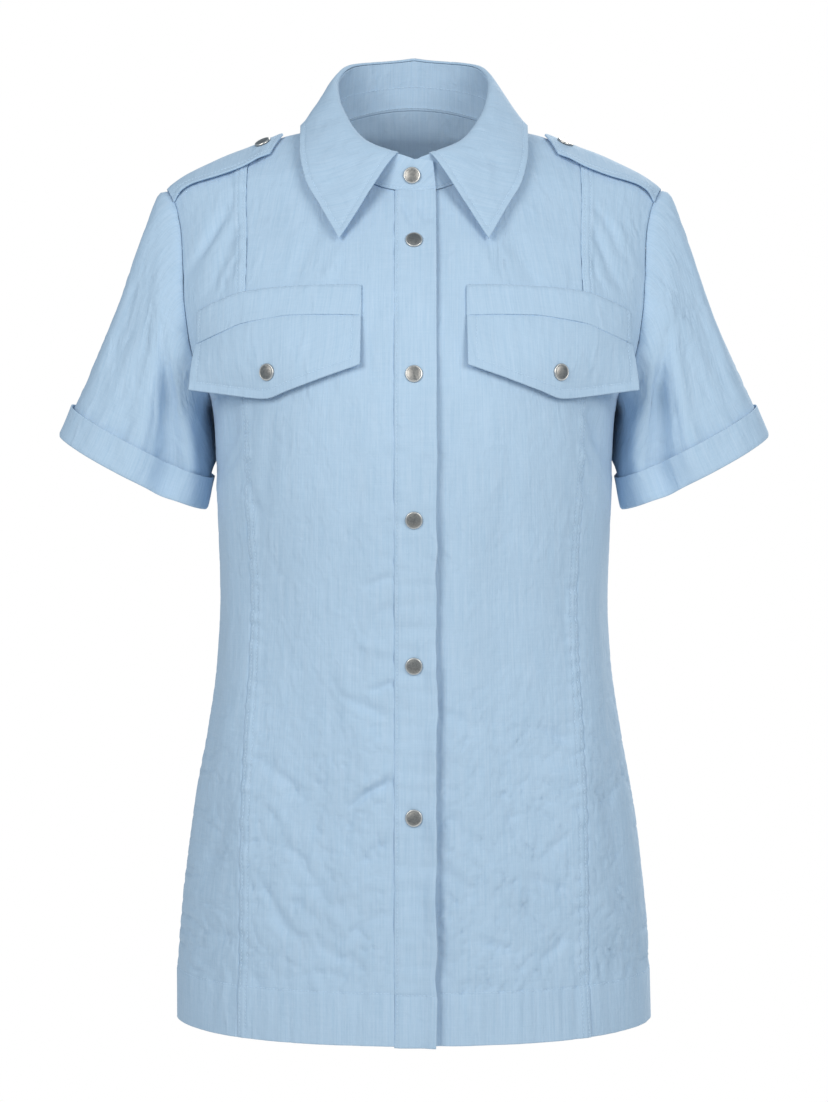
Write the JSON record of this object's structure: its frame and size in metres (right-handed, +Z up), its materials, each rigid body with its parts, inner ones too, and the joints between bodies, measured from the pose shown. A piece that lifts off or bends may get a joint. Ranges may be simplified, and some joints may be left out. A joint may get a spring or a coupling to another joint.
{
  "type": "short-sleeved shirt",
  "caption": "Fitted short-sleeved cotton shirt in pale blue with snap front, flap pockets, epaulettes and turned-up sleeves.",
  "frame": {"origin": "middle of the neck, level with the neck ends of the shoulder seams, where a wearer's neck and shoulders carry the shirt", "axes": "+Z up, +X towards the wearer's left arm, +Y towards the wearer's back; the front opening faces -Y"},
  "size_m": [0.5314, 0.2599, 0.7319],
  "materials": {
    "cloth": "plain-woven pale blue cotton, washed and lightly creased, matt",
    "snap": "domed caps with a dull nickel finish"
  },
  "bodies": {
    "root": {"right_front": "cloth", "left_front": "cloth", "right_side_front": "cloth", "left_side_front": "cloth", "back": "cloth", "right_placket": "cloth", "left_placket": "cloth", "collar_stand": "cloth", "collar_leaf": "cloth", "right_sleeve": "cloth", "left_sleeve": "cloth", "right_cuff": "cloth", "left_cuff": "cloth", "right_pocket_band": "cloth", "left_pocket_band": "cloth", "right_pocket_flap": "cloth", "left_pocket_flap": "cloth", "right_epaulette": "cloth", "left_epaulette": "cloth", "front_snap_1": "snap", "front_snap_2": "snap", "front_snap_3": "snap", "front_snap_4": "snap", "front_snap_5": "snap", "front_snap_6": "snap", "right_flap_snap": "snap", "left_flap_snap": "snap", "right_epaulette_snap": "snap", "left_epaulette_snap": "snap"}
  },
  "joints": []
}
